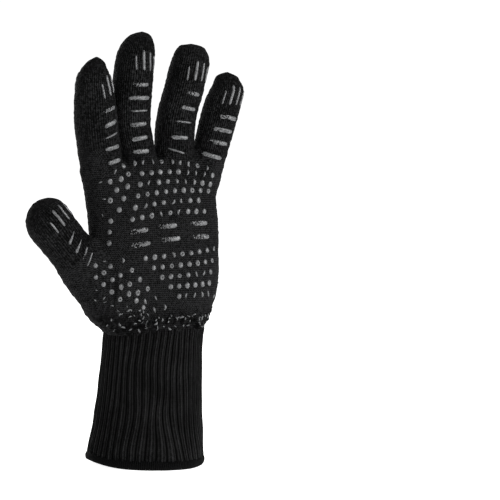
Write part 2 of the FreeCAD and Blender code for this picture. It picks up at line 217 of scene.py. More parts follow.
# Degrees from the palm direction to the middle of a digit's bars and strips.
PRINT_TURN = {"index": 26.0, "middle": 8.0, "ring": 12.0, "little": 10.0, "thumb": 12.0}
STRIP_TURN = {"index": 47.0, "middle": 24.0, "ring": 19.0, "little": 14.0, "thumb": 27.0}
# Where the strips start below the tip, how far they lean for each mm, and the rise from strip to strip.
STRIP_END = {"index": 30.5, "middle": 29.5, "ring": 28.0, "little": 25.0, "thumb": 25.0}
STRIP_LEAN = {"index": 0.14, "middle": 0.15, "ring": 0.08}
STRIP_RISE = {"index": 2.2}
# Rows below the fingers: start, rise for each dot, arch of the row, droop at its end, number of dots.
UPPER_STEP = 7.35
UPPER_FULL_ROW = 9                          # dots in a full row, for which arch and droop are given
UPPER_ROWS = [
    ((-29.2, 185.7), 1.10, 1.9, 0.6, 9),
    ((-27.6, 194.5), 0.98, 2.0, 0.2, 8),
    ((-26.1, 203.3), 0.86, 1.9, 0.9, 9),
    ((-24.6, 211.8), 0.74, 1.6, 3.4, 9),
    ((-23.0, 219.8), 0.62, 1.2, 3.6, 9),
    ((-28.6, 227.0), 0.05, 2.6, 0.8, 9),
]
# Straight rows: first dot, step to the next one, number of dots.
UPPER_WINGS = [
    ((-39.4, 192.2), (-7.0, 6.4), 2),
    ((-36.8, 200.8), (-5.3, 5.9), 3),
    ((-34.2, 209.8), (-4.85, 5.2), 3),
    ((-33.7, 219.0), (-3.2, 5.9), 2),
    ((-45.2, 167.2), (0.2, 8.2), 3),
]
MOUND_ROWS = [
    ((-36.5, 155.3), (6.9, -6.75), 6),
    ((-45.8, 150.7), (7.2, -6.2), 6),
    ((-57.4, 150.9), (6.45, -4.95), 7),
    ((-57.0, 142.4), (6.3, -5.2), 4),
]
# The heel's rows start on a diagonal, and each has one dot fewer and a smaller step than the one above.
HEEL_ROWS = 5
HEEL_FIRST_COUNT = 9
HEEL_START = (-17.9, 157.4)
HEEL_ROW_PITCH = 6.8
HEEL_STEP = (7.3, 1.06)
HEEL_STEP_LOSS = (0.28, 0.12)
# Straight rows again, along which folds leave only crescents of dots.
FRAGMENT_ROWS = [
    ((-40.0, 114.2), (4.9, 0.12), 16),
    ((-43.0, 111.0), (4.9, 0.22), 17),
    ((-45.0, 107.8), (4.9, 0.29), 17),
    ((-42.0, 103.8), (5.0, 0.36), 16),
    ((-48.0, 118.2), (5.0, 0.1), 7),
    ((-54.0, 124.0), (5.2, -0.8), 5),
    ((-60.0, 137.0), (5.6, -5.0), 5),
    ((-56.5, 154.6), (5.2, 0.2), 2),
    ((-50.0, 174.8), (-0.9, 12.4), 4),
    ((40.0, 122.0), (2.6, 8.4), 4),
]
# Long bars: middle and slope in degrees.
PALM_BARS = [
    (-24.2, 177.3, 12.0), (-1.4, 181.8, 8.0), (25.3, 184.8, 3.0),
    (-22.0, 167.4, 12.0), (1.8, 172.3, 8.0), (27.5, 174.9, 3.0),
]
PALM_BAR_LENGTH = 15.8
PALM_BAR_WIDTH = 3.9
PALM_WEAR = 0.74
BAR_WEAR = 0.3
WORN_BAR_WEAR = 0.8
# Mesh lines along a bar, and those across it as shares of its half width.
FLAT_BAR_LINES = 39
ROUND_BAR_LINES = 31
STRIP_LINES = 17
FLAT_BAR_ACROSS = (-1, -0.78, -0.52, -0.26, 0, 0.26, 0.52, 0.78, 1)
ROUND_BAR_ACROSS = (-1, -0.75, -0.4, 0, 0.4, 0.75, 1)
STRIP_ACROSS = (-1, -0.6, 0, 0.6, 1)


# ==== surface of the hand ====
def spline(stations, count):
    """Smooth rows between given rows (Catmull-Rom on the row number)."""
    rows = np.array(stations, dtype=float)
    padded = np.vstack([2 * rows[0] - rows[1], rows, 2 * rows[-1] - rows[-2]])
    result = []
    for i in range(len(rows) - 1):
        a, b, c, d = padded[i:i + 4]
        for t in np.linspace(0, 1, count, endpoint=False):
            result.append(0.5 * (2 * b + (c - a) * t + (2 * a - 5 * b + 4 * c - d) * t**2
                                 + (3 * b - a - 3 * c + d) * t**3))
    result.append(rows[-1])
    return np.array(result)


def fade(value, low, high):
    """0 below low, 1 above high, smooth between."""
    t = np.clip((value - low) / (high - low), 0, 1)
    return t * t * (3 - 2 * t)


def smooth_union(a, b, width):
    """Union of two distance fields with a rounded inside corner."""
    share = np.clip(0.5 + 0.5 * (b - a) / width, 0, 1)
    return b * (1 - share) + a * share - width * share * (1 - share)


def level_above_wrist(x, z):
    """Height measured square to the tilted wrist line; the tilt fades out over the palm."""
    return z - WRIST_TILT * x * (1 - fade(z, 109.0, 150.0))


def hand_field(x, y, z):
    """Distance field of the palm and back, from its elliptical sections."""
    rows = spline(HAND_PROFILE, 8)
    heights = rows[:, 0]
    z = level_above_wrist(x, z)
    centre, half, front, back = [np.interp(z, heights, rows[:, k]) for k in range(1, 5)]
    depth = np.where(y < 0, front, back)
    across = np.abs((x - centre) / half)
    through = np.abs(y / depth)
    n = HAND_SQUARENESS
    level = np.maximum((across**n + through**n)**(1 / n), 1e-6)
    slope = np.hypot(across**(n - 1) / half, through**(n - 1) / depth) * level**(1 - n)
    sides = (level - 1) / np.maximum(slope, 1e-6)
    sides = np.maximum(sides, HAND_CORE)
    web = (z - WEB_HEIGHT - (x - centre) * WEB_SLOPE) * 0.97
    return -smooth_union(-sides, -web, WEB_CORNER)


def local_axes(x, z, line):
    """Sideways and lengthwise distances of points from a digit's straight axis."""
    (x0, z0), (dx, dz) = line
    along = (x - x0) * dx + (z - z0) * dz
    across = (x - x0) * dz - (z - z0) * dx
    return across, along


def digit_rows(name):
    """Fine stations of a digit, with increasing distance along its axis."""
    rows = spline(DIGITS[name][0], 8)
    rows[:, 3] = np.maximum(rows[:, 3], 0.0)
    return rows


def digit_field(name, x, y, z):
    """Distance field of a digit: a tube of changing width about a curved centre line."""
    rows = digit_rows(name)
    across, along = local_axes(x, z, DIGITS[name][1])
    centre = np.interp(along, rows[:, 2], rows[:, 0])
    depth = np.interp(along, rows[:, 2], rows[:, 1])
    radius = np.interp(along, rows[:, 2], rows[:, 3])
    reach = np.hypot(across - centre, (y - depth) / DEPTH_RATIO)
    beyond = np.maximum(along - rows[-1, 2], 0) + np.maximum(rows[0, 2] - along, 0)
    return np.maximum(reach - radius, DIGIT_CORE) * 0.93 + beyond


def mound_field(x, y, z, centre, size):
    """Rough distance field of a soft ellipsoidal pad."""
    level = np.sqrt(sum(((v - c) / s)**2 for v, c, s in zip((x, y, z), centre, size)))
    return (level - 1) * min(size)


def glove_field(x, y, z):
    """The whole hand: palm, pads, fingers and thumb."""
    field = hand_field(x, y, z)
    fingers = None
    for name in ("index", "middle", "ring", "little"):
        part = digit_field(name, x, y, z)
        fingers = part if fingers is None else smooth_union(fingers, part, FINGER_BLEND)
    thumb = digit_field("thumb", x, y, z)
    field = smooth_union(field, mound_field(x, y, z, *THUMB_PAD), THUMB_PAD_BLEND)
    field = smooth_union(field, mound_field(x, y, z, *HEEL_PAD), HEEL_PAD_BLEND)
    field = smooth_union(field, thumb, THUMB_BLEND)
    return smooth_union(field, fingers, WEB_BLEND)


def sample_field(step):
    """The glove's field on a grid of cubes."""
    axes = [np.arange(low, high, step) for low, high in zip(GRID_LOW, GRID_HIGH)]
    blocks = []
    for start in range(0, len(axes[2]), 60):
        x, y, z = np.meshgrid(axes[0], axes[1], axes[2][start:start + 60], indexing="ij")
        blocks.append(glove_field(x, y, z).astype(np.float32))
    return np.concatenate(blocks, axis=2)


def surface(field, step, level):
    """Vertices (mm) and quads of one level of the field."""
    grid = openvdb.FloatGrid(50.0)
    grid.copyFromArray(np.ascontiguousarray(field))
    points, quads = grid.convertToQuads(level)
    return points * step + np.array(GRID_LOW), quads[:, ::-1]


def vertex_normals(points, quads):
    """Area-weighted normals."""
    corners = points[quads]
    faces = np.cross(corners[:, 2] - corners[:, 0], corners[:, 3] - corners[:, 1])
    normals = np.zeros_like(points)
    for k in range(4):
        np.add.at(normals, quads[:, k], faces)
    return normals / np.maximum(np.linalg.norm(normals, axis=1, keepdims=True), 1e-9)


def ripple(point, size, seed):
    """Smooth noise between -1 and 1 with a feature size in mm."""
    return noise.noise(Vector((point[0] / size[0] + seed, point[1] / size[1], point[2] / size[2])))


def pleats(point, size, seed):
    """Sharp-edged folds: ridges where smooth noise crosses zero."""
    return 1 - 2.4 * abs(ripple(point, size, seed))


# Folds of the fabric: size of the folds in X, Y and Z, and where the noise starts.
WRIST_FOLDS = ((5.4, 5.4, 5.0), 7.7)
WRIST_WRINKLES = ((2.8, 2.8, 2.4), 1.4)
MOUND_FOLDS = ((4.2, 7.0, 13.0), 5.2)
ROOT_FOLDS = ((6.5, 20.0, 17.0), 2.6)
BROAD_WAVES = ((15.0, 15.0, 19.0), 3.1)
FINE_WAVES = ((7.0, 7.0, 2.4), 9.3)


def crumple(points, normals):
    """Pushes the fabric in and out and gives a painted shade factor for the knit's colour (1 on a fold, 0
    deep between folds, where the painted shade is darkest).

    There are gathers above the wrist, folds at the base of the thumb and a soft unevenness everywhere.
    """
    moved = points.copy()
    # painted shade: this factor darkens the knit's colour deep between the folds of the gathers, the thumb's
    # mound and the finger roots
    painted_shade_factor = np.ones(len(points))
    level = level_above_wrist(points[:, 0], points[:, 2])
    wrist = (1 - fade(level, 110.0, 124.0)) * fade(level, 100.5, 104.0)
    facing = 0.3 + 0.7 * fade(np.abs(normals[:, 1]), 0.15, 0.75)
    thumb_side = 1 - fade(points[:, 0], -46.0, -18.0)
    mound = thumb_side * (1 - fade(points[:, 2], 124.0, 166.0)) * fade(level, 103.0, 109.0)
    creases = 0.7 * fade(points[:, 2], 196.0, 224.0) * (1 - fade(points[:, 2], 232.0, 244.0))
    for i, point in enumerate(points):
        push = 0.35 * ripple(point, *BROAD_WAVES) + 0.38 * ripple(point, *FINE_WAVES)
        if wrist[i] > 0:
            fold = pleats(point, *WRIST_FOLDS)
            wrinkle = ripple(point, *WRIST_WRINKLES)
            push += wrist[i] * facing[i] * (2.1 * fold - 1.0 + 1.1 * wrinkle)
            painted_shade_factor[i] -= wrist[i] * (1 - np.clip(0.15 + 1.0 * fold + 0.9 * wrinkle, 0, 1))
        if mound[i] > 0:
            fold = pleats(point, *MOUND_FOLDS)
            push += mound[i] * facing[i] * (1.2 * fold - 0.5)
            painted_shade_factor[i] -= mound[i] * 0.45 * (1 - np.clip(0.3 + fold, 0, 1))
        if creases[i] > 0:
            fold = pleats(point, *ROOT_FOLDS)
            push += creases[i] * (0.9 * fold - 0.4)
            painted_shade_factor[i] -= creases[i] * 0.8 * (1 - np.clip(0.2 + fold, 0, 1))
        moved[i] += normals[i] * push
    return moved, np.clip(painted_shade_factor, 0, 1)


# ==== mesh helpers ====
def make_object(name, points, faces, material, normals=None):
    """A smooth-shaded mesh object from points in mm."""
    mesh = bpy.data.meshes.new(name)
    mesh.from_pydata((np.asarray(points) * MM).tolist(), [], [list(face) for face in faces])
    mesh.polygons.foreach_set("use_smooth", [True] * len(mesh.polygons))
    mesh.update()
    if normals is not None:
        mesh.normals_split_custom_set_from_vertices(np.asarray(normals).tolist())
    mesh.materials.append(material)
    piece = bpy.data.objects.new(name, mesh)
    bpy.context.scene.collection.objects.link(piece)
    return piece


def corner_vertices(piece):
    """Number of the vertex at every face corner."""
    corners = np.zeros(len(piece.data.loops), dtype=int)
    piece.data.loops.foreach_get("vertex_index", corners)
    return corners


def corner_attribute(piece, name, values):
    """Stores one number for each face corner."""
    layer = piece.data.attributes.new(name, "FLOAT", "CORNER")
    layer.data.foreach_set("value", np.asarray(values, dtype=np.float32).ravel())


# ==== materials ====
class Nodes:
    """Short way to build a node tree."""

    def __init__(self, tree):
        self.tree = tree

    def add(self, kind):
        return self.tree.nodes.new(kind)

    def link(self, source, target):
        self.tree.links.new(source, target)

    def fill(self, socket, value):
        """Sets a socket to a number or a colour, or links another node's output to it."""
        if isinstance(value, (int, float, tuple)):
            socket.default_value = value
        else:
            self.link(value, socket)

    def number(self, name):
        node = self.add("ShaderNodeAttribute")
        node.attribute_name = name
        return node.outputs["Fac"]

    def math(self, operation, a, b=0.0, c=0.0):
        node = self.add("ShaderNodeMath")
        node.operation = operation
        for socket, value in zip(node.inputs, (a, b, c)):
            self.fill(socket, value)
        return node.outputs[0]

    def map_range(self, value, source, target):
        node = self.add("ShaderNodeMapRange")
        self.link(value, node.inputs["Value"])
        for name, limit in zip(("From Min", "From Max", "To Min", "To Max"), source + target):
            node.inputs[name].default_value = limit
        return node.outputs["Result"]

    def noise(self, scale, detail=2.0):
        place = self.add("ShaderNodeTexCoord")
        node = self.add("ShaderNodeTexNoise")
        node.inputs["Scale"].default_value = scale
        node.inputs["Detail"].default_value = detail
        self.link(place.outputs["Object"], node.inputs["Vector"])
        return node.outputs["Fac"]

    def mix(self, factor, low, high):
        node = self.add("ShaderNodeMix")
        node.data_type = "RGBA"
        self.link(factor, node.inputs["Factor"])
        self.fill(node.inputs[6], low + (1.0,))
        self.fill(node.inputs[7], high + (1.0,))
        return node.outputs[2]


class MaterialNodes(Nodes):
    """The node tree of a new material."""

    def __init__(self, name):
        self.material = bpy.data.materials.new(name)
        self.material.use_nodes = True
        super().__init__(self.material.node_tree)
        self.shader = self.tree.nodes["Principled BSDF"]

    def bump(self, height, strength, distance):
        node = self.add("ShaderNodeBump")
        node.inputs["Strength"].default_value = strength
        node.inputs["Distance"].default_value = distance
        self.link(height, node.inputs["Height"])
        self.link(node.outputs["Normal"], self.shader.inputs["Normal"])


def ridge(nodes, count, power):
    """Rounded ridges, one for each whole number, from 0 in the grooves to 1 on top."""
    wave = nodes.math("ABSOLUTE", nodes.math("SINE", nodes.math("MULTIPLY", count, math.pi)))
    return nodes.math("POWER", wave, power)


def knit_material(name, dark, light, speckle):
    """Fine jersey knit: upright wales crossed by courses, with uneven dark yarn; ridge tops get a painted
    highlight, and the grooves and the creases between folds get painted shade.
    """
    nodes = MaterialNodes(name)
    wale = nodes.number("wale")
    course = nodes.number("course")
    palm = nodes.number("palm")
    wales = ridge(nodes, wale, 1.6)
    slant = nodes.math("MULTIPLY", nodes.math("PINGPONG", wale, 0.5), 0.9)
    courses = ridge(nodes, nodes.math("ADD", course, slant), 1.6)
    wale_part = nodes.math("MULTIPLY", wales, nodes.math("MULTIPLY_ADD", palm, -0.5, 0.75))
    course_part = nodes.math("MULTIPLY", courses, nodes.math("MULTIPLY_ADD", palm, 0.45, 0.25))
    height = nodes.math("ADD", wale_part, course_part)
    patches = nodes.noise(45.0, 3.0)
    stitches = nodes.noise(560.0, 2.0)
    fibres = nodes.noise(2400.0, 2.0)
    # painted highlight and shade: ridge tops of the wales and courses are painted lighter and the grooves
    # between them darker, most strongly on the palm
    ridge_shade_strength = nodes.math("MULTIPLY_ADD", palm, 0.75, 0.8)
    tone = nodes.math("MULTIPLY_ADD", height, ridge_shade_strength, -0.2)
    for pattern, strength in ((patches, 1.1), (stitches, 3.2 * speckle), (fibres, 0.8)):
        tone = nodes.math("ADD", tone, nodes.math("MULTIPLY", nodes.math("SUBTRACT", pattern, 0.5), strength))
    tone = nodes.math("MINIMUM", nodes.math("MAXIMUM", tone, 0.0), 1.6)
    # painted shade: the knit's colour is multiplied by this factor, darkest deep in creases and in the
    # ribbing's grooves
    painted_shade_multiplier = nodes.math("POWER", nodes.number("painted_shade_factor"), 1.2)
    tone = nodes.math("MULTIPLY", tone, painted_shade_multiplier)
    nodes.link(nodes.mix(tone, dark, light), nodes.shader.inputs["Base Color"])
    nodes.shader.inputs["Roughness"].default_value = 0.82
    nodes.shader.inputs["Specular IOR Level"].default_value = 0.04
    nodes.shader.inputs["Sheen Weight"].default_value = 0.004
    nodes.shader.inputs["Sheen Roughness"].default_value = 0.5
    fuzz = nodes.math("ADD", height, nodes.math("MULTIPLY", stitches, 0.8))
    nodes.bump(fuzz, 1.0, 0.0011)
    return nodes.material


def silicone_material(name, dark, light):
    """Screen-printed silicone: satin, slightly mottled where the knit shows through."""
    nodes = MaterialNodes(name)
    patches = nodes.noise(520.0, 2.0)
    grain = nodes.noise(1300.0, 2.0)
    tone = nodes.math("ADD", nodes.math("MULTIPLY", patches, 2.6), nodes.math("MULTIPLY", grain, 1.4))
    tone = nodes.math("SUBTRACT", tone, 1.5)
    tone = nodes.math("MINIMUM", nodes.math("MAXIMUM", tone, 0.0), 1.0)
    nodes.link(nodes.mix(tone, dark, light), nodes.shader.inputs["Base Color"])
    nodes.shader.inputs["Roughness"].default_value = 0.42
    nodes.shader.inputs["Specular IOR Level"].default_value = 0.5
    nodes.bump(nodes.math("ADD", patches, grain), 0.35, 0.0003)
    return nodes.material


def cotton_material(name):
    """Brushed cotton lining."""
    nodes = MaterialNodes(name)
    fibres = nodes.noise(700.0, 4.0)
    patches = nodes.noise(60.0, 2.0)
    tone = nodes.math("ADD", nodes.math("MULTIPLY", fibres, 0.6), nodes.math("MULTIPLY", patches, 0.4))
    nodes.link(nodes.mix(tone, (0.05, 0.05, 0.053), (0.17, 0.17, 0.175)), nodes.shader.inputs["Base Color"])
    nodes.shader.inputs["Roughness"].default_value = 0.95
    nodes.shader.inputs["Sheen Weight"].default_value = 0.2
    nodes.bump(fibres, 0.6, 0.0006)
    return nodes.material


KNIT = knit_material("aramid_knit", (0.0003, 0.0003, 0.0003), (0.0135, 0.0135, 0.014), 1.0)
RIB_KNIT = knit_material("rib_knit", (0.0006, 0.0006, 0.0006), (0.019, 0.019, 0.0195), 0.35)
HEM_KNIT = knit_material("hem_knit", (0.0008, 0.0008, 0.0009), (0.021, 0.021, 0.0215), 0.3)
COTTON = cotton_material("cotton_liner")
SILICONE = silicone_material("silicone_print", (0.02, 0.0205, 0.0214), (0.088, 0.09, 0.0925))


# ==== hand, fingers and liner ====
def joint_frame(name):
    """Place (mm) of a joint and the direction of the digit there."""
    for item in frame["joints"]:
        if item["name"] == name:
            axis = item["axis"]
            return np.array(item["pos_m"]) / MM, np.array([-axis[2], 0.0, axis[0]])
    raise KeyError(name)


# A moving part of a digit: its name, the bodies before and after its joint, the joint, and the bend's zone.
Segment = namedtuple("Segment", "part before after joint zone")


def digit_segments(name):
    """The moving parts of a digit, from its root to its tip."""
    if name == "thumb":
        zones = {"base": THUMB_ROOT_ZONE, "tip": MIDDLE_ZONE}
    else:
        zones = {"base": ROOT_ZONE, "middle": MIDDLE_ZONE, "tip": TIP_ZONE}
    segments = []
    before = "hand"
    for part, zone in zones.items():
        after = name + "_" + part
        segments.append(Segment(part, before, after, after + "_bend", zone))
        before = after
    return segments


def bend(piece, segment):
    """Bakes the piece's placement into its mesh; the joint is looked up, but the fabric is not bound to its
    two bodies.
    """
    _, before, after, joint, (_, low, high) = segment
    place, direction = joint_frame(joint)
    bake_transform(piece)


def bend_wrist(piece):
    """Bakes the piece's placement into its mesh; it is not bound to the cuff or the hand."""
    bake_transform(piece)


def zones_of(points):
    """Zone of every point: ("hand", 0) or (digit, number of its moving part)."""
    x, y, z = points.T
    zone = np.zeros(len(points), dtype=int)
    nearest = np.full(len(points), DIGIT_REACH)
    owner = np.full(len(points), -1)
    names = list(DIGITS)
    for number, name in enumerate(names):
        gap = digit_field(name, x, y, z)
        closer = gap < nearest
        nearest[closer] = gap[closer]
        owner[closer] = number
    for number, name in enumerate(names):
        for part, segment in enumerate(digit_segments(name), start=1):
            place, direction = joint_frame(segment.joint)
            past = (points - place) @ direction > segment.zone[0]
            zone[(owner == number) & past] = 10 * number + part
    return zone, owner, names


def ellipse_share(x, y, z):
    """Place round the hand from 0 to 1 by length of fabric, starting at the little finger side."""
    rows = np.array(HAND_PROFILE)
    centre = np.interp(z, rows[:, 0], rows[:, 1])
    half = np.interp(z, rows[:, 0], rows[:, 2])
    depth = np.interp(z, rows[:, 0], rows[:, 3])
    turn = np.arctan2(y / depth, (x - centre) / half)
    fine = np.linspace(-math.pi, math.pi, 361)
    steps = np.hypot(PALM_HALVES[0] * np.diff(np.cos(fine)), PALM_HALVES[1] * np.diff(np.sin(fine)))
    length = np.concatenate([[0.0], np.cumsum(steps)])
    return np.interp(turn, fine, length / length[-1])


def unwrap(values, period):
    """Keeps the corners of one face on the same turn."""
    spread = values.max(axis=1) - values.min(axis=1)
    fix = (spread > period / 2)[:, None] & (values < values.mean(axis=1, keepdims=True))
    return np.where(fix, values + period, values)


def knit_numbers(points, quads, owner, names):
    """Wale and course counts and the palm share at every face corner."""
    x, y, z = points.T
    wale = ellipse_share(x, y, z) * WALES_ROUND_HAND
    course = z / COURSE_PITCH
    palm = 1 - fade(z, 226.0, 240.0)
    wale_corners = unwrap(wale[quads], WALES_ROUND_HAND)
    course_corners = course[quads]
    palm_corners = palm[quads]
    for number, name in enumerate(names):
        rows = digit_rows(name)
        across, along = local_axes(x, z, DIGITS[name][1])
        first = THUMB_KNIT_START if name == "thumb" else FINGER_KNIT_START
        mine = (owner[quads].min(axis=1) == number) & (along[quads].mean(axis=1) > first)
        centre = np.interp(along, rows[:, 2], rows[:, 0])
        depth = np.interp(along, rows[:, 2], rows[:, 1])
        turn = np.arctan2((y - depth) / DEPTH_RATIO, across - centre) / (2 * math.pi) * WALES_ROUND_DIGIT
        wale_corners[mine] = unwrap(turn[quads], WALES_ROUND_DIGIT)[mine]
        course_corners[mine] = (along / COURSE_PITCH)[quads][mine]
        palm_corners[mine] = 0.0
    return wale_corners, course_corners, palm_corners


def cut_out(points, quads, keep, normals):
    """The kept faces with only their own vertices."""
    chosen = quads[keep]
    used, renumbered = np.unique(chosen, return_inverse=True)
    return points[used], renumbered.reshape(chosen.shape), normals[used]


def build_fabric(points, quads, normals, suffix, material, cad_layer, painted_shade_factor):
    """Divides one layer of the hand at the joints and makes its pieces; only knit has a painted shade factor
    for its colour.
    """
    with_knit = painted_shade_factor is not None
    centres = points[quads].mean(axis=1)
    zone, _, names = zones_of(centres)
    zone[level_above_wrist(centres[:, 0], centres[:, 2]) < WRIST_EDGE] = -1
    _, owner, _ = zones_of(points)
    numbers = knit_numbers(points, quads, owner, names) + (painted_shade_factor[quads],) if with_knit else None
    hand_nodes = ["hand_shell_lower", "hand_shell_upper"] if cad_layer == "shell" else ["hand_liner"]
    jobs = [(0, "hand_" + suffix, hand_nodes, None)]
    for number, name in enumerate(names):
        for part, segment in enumerate(digit_segments(name), start=1):
            label = name + "_" + suffix + "_" + segment.part
            jobs.append((10 * number + part, label, [name + "_" + cad_layer + "_" + segment.part], segment))
    for code, label, nodes, segment in jobs:
        keep = zone == code
        own_points, own_quads, own_normals = cut_out(points, quads, keep, normals)
        piece = make_object(label, own_points, own_quads, material, own_normals)
        if with_knit:
            for attribute, values in zip(("wale", "course", "palm", "painted_shade_factor"), numbers):
                corner_attribute(piece, attribute, values[keep])
        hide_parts(*nodes)
        if segment is None:
            bend_wrist(piece)
        else:
            bend(piece, segment)


# ==== silicone prints ====
class Skin:
    """The finished outer surface, for laying prints on it."""

    def __init__(self, points, quads):
        self.tree = BVHTree.FromPolygons(points.tolist(), quads.tolist())

    def land(self, origin, direction, outward, far=90.0):
        """Where a ray meets the surface, and the normal there, turned to the outward side."""
        place, normal, _, _ = self.tree.ray_cast(Vector(origin), Vector(direction), far)
        if place is not None and normal.dot(outward) < 0:
            normal = -normal
        return place, normal

    def land_on_face(self, x, z, face):
        """The same for a point of the palm (face -1) or of the back (+1)."""
        return self.land((x, 70.0 * face, z), (0, -face, 0), Vector((0, face, 0)))


class PrintMesh:
    """Gathers many prints into one mesh."""

    def __init__(self):
        self.points = []
        self.faces = []

    def add_grid(self, rows):
        """Adds a grid of points given row by row."""
        start = len(self.points)
        width = len(rows[0])
        for row in rows:
            self.points.extend(row)
        for i in range(len(rows) - 1):
            for j in range(width - 1):
                a = start + i * width + j
                self.faces.append((a, a + 1, a + width + 1, a + width))

    def add_disc(self, rings):
        """Adds closed rings of points, from the middle outwards; the first ring is one point."""
        start = len(self.points)
        self.points.append(rings[0][0])
        count = len(rings[1])
        for ring in rings[1:]:
            self.points.extend(ring)
        for j in range(count):
            k = (j + 1) % count
            self.faces.append((start, start + 1 + j, start + 1 + k))
            for level in range(len(rings) - 2):
                a = start + 1 + level * count
                self.faces.append((a + j, a + count + j, a + count + k, a + k))


def tangents(normal):
    """Two directions along the surface: sideways and upwards."""
    up = Vector((0, 0, 1))
    side = up.cross(normal).normalized()
    if side.x < 0:
        side.negate()
    return side, normal.cross(side).normalized() * (1 if normal.cross(side).z > 0 else -1)


def on_surface(skin, middle, normal, offset, height):
    """A point near a print's middle, moved onto the surface and raised."""
    place, facing = skin.land(middle + offset + normal * 5.0, -normal, normal, 10.0)
    return None if place is None else place + facing * height


def add_dot(mesh, skin, x, z, face, size=DOT_RADIUS, sides=(1.0, 1.0), lean=0.0, hollow=False):
    """One dot; face is -1 for the palm and +1 for the back.

    The two numbers in sides are the widths of its left and right halves: (1, 1) is a whole dot, and a
    negative one hollows that half out into a crescent.
    """
    place, normal = skin.land_on_face(x, z, face)
    if place is None:
        return
    side, up = tangents(normal)
    side, up = side * math.cos(lean) + up * math.sin(lean), up * math.cos(lean) - side * math.sin(lean)
    radius = size * random.uniform(0.9, 1.08)
    stretch = DOT_STRETCH * random.uniform(0.94, 1.06)
    middle, half = (sides[1] - sides[0]) / 2, (sides[1] + sides[0]) / 2
    rings = []
    for share, rise in HOLLOW_DOT if hollow else FULL_DOT:
        ring = []
        for step in range(1 if share == 0 else DOT_SIDES):
            turn = 2 * math.pi * step / DOT_SIDES
            rise_share = math.sin(turn) * share
            across = middle * math.sqrt(max(0.0, 1 - rise_share**2)) + half * math.cos(turn) * share
            offset = side * (across * radius) + up * (rise_share * stretch * radius)
            ring.append(on_surface(skin, place, normal, offset, DOT_HEIGHT * rise))
        rings.append(ring)
    if any(point is None for ring in rings for point in ring):
        return
    mesh.add_disc(rings)


def creased_share(x, z):
    """How often a dot lies in a crease of the fabric, by its place on the hand."""
    finger_roots = 0.75 * fade(z, 206.0, 226.0)
    palm_crease = 0.6 * (1 - fade(abs(x - 4.0 - 0.18 * (z - 190.0)), 3.0, 9.0)) * fade(z, 183.0, 190.0)
    little_side = 0.75 * fade(x, 8.0, 26.0) * (1 - fade(z, 142.0, 150.0))
    thumb_side = 0.8 * (1 - fade(x, -58.0, -50.0))
    wrist = 0.6 * (1 - fade(z, 118.0, 130.0))
    return max(finger_roots, palm_crease, little_side, thumb_side, wrist, 0.06)


def add_worn_dot(mesh, skin, x, z, face):
    """A dot of the printed fields: most are whole, some have a pinhole, and creases hide part of others."""
    chance = random.random()
    creased = creased_share(x, z)
    lean = random.uniform(-0.5, 0.5)
    if chance < 0.55 * creased:
        left_whole = random.random() < 0.5
        hidden = random.uniform(-0.1, 0.4)
        add_dot(mesh, skin, x, z, face, DOT_RADIUS, (1.0, hidden) if left_whole else (hidden, 1.0), lean)
    elif chance < creased:
        add_dot(mesh, skin, x, z, face, DOT_RADIUS, (0.42, 0.42), lean)
    else:
        add_dot(mesh, skin, x, z, face, DOT_RADIUS, (1.0, 1.0), 0.0, random.random() < HOLLOW_SHARE)


def add_fragment(mesh, skin, x, z, face):
    """A dot of which folds hide all but a small crescent."""
    size = random.uniform(*FRAGMENT_RADIUS)
    sides = (random.uniform(-0.35, 0.4), random.uniform(0.7, 1.0))
    add_dot(mesh, skin, x, z, face, size, sides, random.uniform(0, 2 * math.pi))


def brush_width(u):
    """Width of a printed bar along its length, from -1 to 1: full in the middle and rounded at the ends."""
    return math.sqrt(max(0.0, 1 - abs(u)**7))


def bar_rise(u, v, wear=0.0, seed=0.0):
    """Height of a printed bar over the fabric; wear from 0 to 1 breaks it up, most at its start."""
    if max(abs(u), abs(v)) > 0.99:
        return -0.2
    threshold = wear * (0.62 - 0.62 * u) - 0.6
    if noise.noise(Vector((u * 8.0 + seed, v * 1.9, seed))) < threshold:
        return -0.3
    return BAR_HEIGHT * (1 - abs(v)**4) * (1 - abs(u)**12)


def lay_grid(mesh, lines, across, point_at):
    """Adds a bar as a grid; point_at gives its points for places from -1 to 1 along and across it."""
    rows = [[point_at(u, v) for v in across] for u in np.linspace(-1, 1, lines)]
    if all(point is not None for row in rows for point in row):
        mesh.add_grid(rows)


def add_flat_bar(mesh, skin, place, normal, slope, length, width, wear):
    """A straight bar laid on the surface round a point."""
    side, up = tangents(normal)
    turn = math.radians(slope)
    length_way = side * math.cos(turn) + up * math.sin(turn)
    width_way = up * math.cos(turn) - side * math.sin(turn)
    seed = random.uniform(0, 50)

    def point_at(u, v):
        offset = length_way * (u * length / 2) + width_way * (v * width / 2 * brush_width(u))
        return on_surface(skin, place, normal, offset, bar_rise(u, v, wear, seed))

    lay_grid(mesh, FLAT_BAR_LINES, FLAT_BAR_ACROSS, point_at)


def add_palm_bar(mesh, skin, x, z, slope, face):
    """A long bar across the palm or back."""
    place, normal = skin.land_on_face(x, z, face)
    add_flat_bar(mesh, skin, place, normal, slope, PALM_BAR_LENGTH, PALM_BAR_WIDTH, PALM_WEAR)


def digit_point(name, rows, along):
    """Centre line point of a digit in mm."""
    (x0, z0), (dx, dz) = DIGITS[name][1]
    across, depth = [float(np.interp(along, rows[:, 2], rows[:, k])) for k in (0, 1)]
    return np.array([x0 + dx * along + dz * across, depth, z0 + dz * along - dx * across])


def outward_ray(name, rows, along, angle):
    """Start on a digit's centre line and direction out through its side, by angle from the palm."""
    dx, dz = DIGITS[name][1][1]
    outward = Vector((dz * math.sin(angle), -math.cos(angle) * DEPTH_RATIO, -dx * math.sin(angle)))
    return Vector(digit_point(name, rows, along)), outward.normalized()


